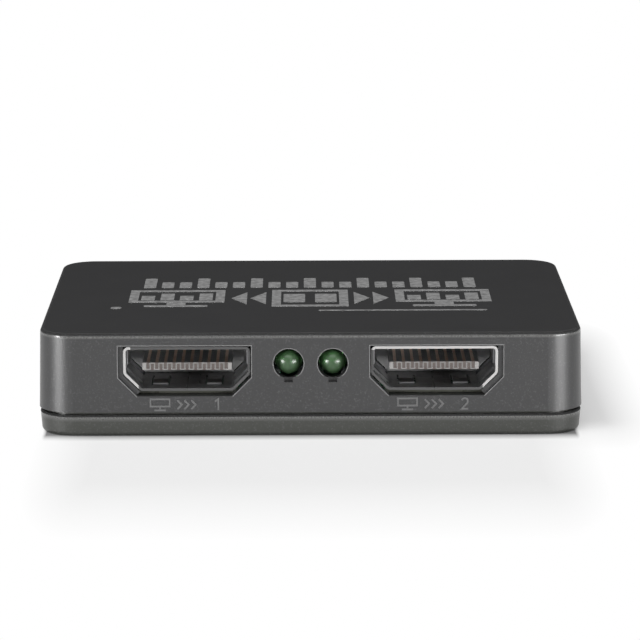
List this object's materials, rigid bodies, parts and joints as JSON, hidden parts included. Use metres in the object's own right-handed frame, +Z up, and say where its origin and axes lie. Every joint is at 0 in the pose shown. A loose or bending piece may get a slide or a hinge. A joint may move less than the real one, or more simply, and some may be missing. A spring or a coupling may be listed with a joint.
{
  "type": "hdmi splitter",
  "caption": "Flat moulded box that passes a video input on to its outputs, with sockets and lamps in its end walls and a circuit board clamped inside.",
  "frame": {"origin": "middle of the base, on the surface that the box stands on", "axes": "+X to the right as the output side is looked at, +Y from the output side to the input side, +Z up"},
  "size_m": [0.063, 0.046, 0.0121],
  "materials": {
    "housing_plastic": "fine satin texture, anthracite",
    "screw_steel": "zinc plated",
    "board_laminate": "green solder mask",
    "plated_shell": "bright nickel plate",
    "socket_plastic": "moulded black",
    "gold_contact": "gold flashed",
    "green_lens": "tinted, diffused",
    "tinned_lead": "tin plated",
    "chip_resin": "moulded black",
    "can_aluminium": "bright",
    "coil_ferrite": "sintered dark grey",
    "coil_copper": "enamelled copper wire",
    "capacitor_ceramic": "fired tan"
  },
  "bodies": {
    "root": {"upper_housing": "housing_plastic", "lower_housing": "housing_plastic", "housing_screws": "screw_steel", "circuit_board": "board_laminate", "output_1_shell": "plated_shell", "output_2_shell": "plated_shell", "input_shell": "plated_shell", "power_shell": "plated_shell", "crystal_can": "plated_shell", "output_1_insulator": "socket_plastic", "output_2_insulator": "socket_plastic", "input_insulator": "socket_plastic", "power_insulator": "socket_plastic", "crystal_base": "socket_plastic", "capacitor_can_bases": "socket_plastic", "output_1_contacts": "gold_contact", "output_2_contacts": "gold_contact", "input_contacts": "gold_contact", "power_contacts": "gold_contact", "output_1_lamp": "green_lens", "output_2_lamp": "green_lens", "output_1_lamp_leads": "tinned_lead", "output_2_lamp_leads": "tinned_lead", "splitter_chip_leads": "tinned_lead", "memory_chip_leads": "tinned_lead", "voltage_regulator_leads": "tinned_lead", "ceramic_capacitor_ends": "tinned_lead", "resistor_ends": "tinned_lead", "splitter_chip": "chip_resin", "memory_chip": "chip_resin", "voltage_regulator": "chip_resin", "surge_arrays": "chip_resin", "resistors": "chip_resin", "capacitor_cans": "can_aluminium", "coil_core": "coil_ferrite", "coil_winding": "coil_copper", "ceramic_capacitors": "capacitor_ceramic"}
  },
  "joints": []
}
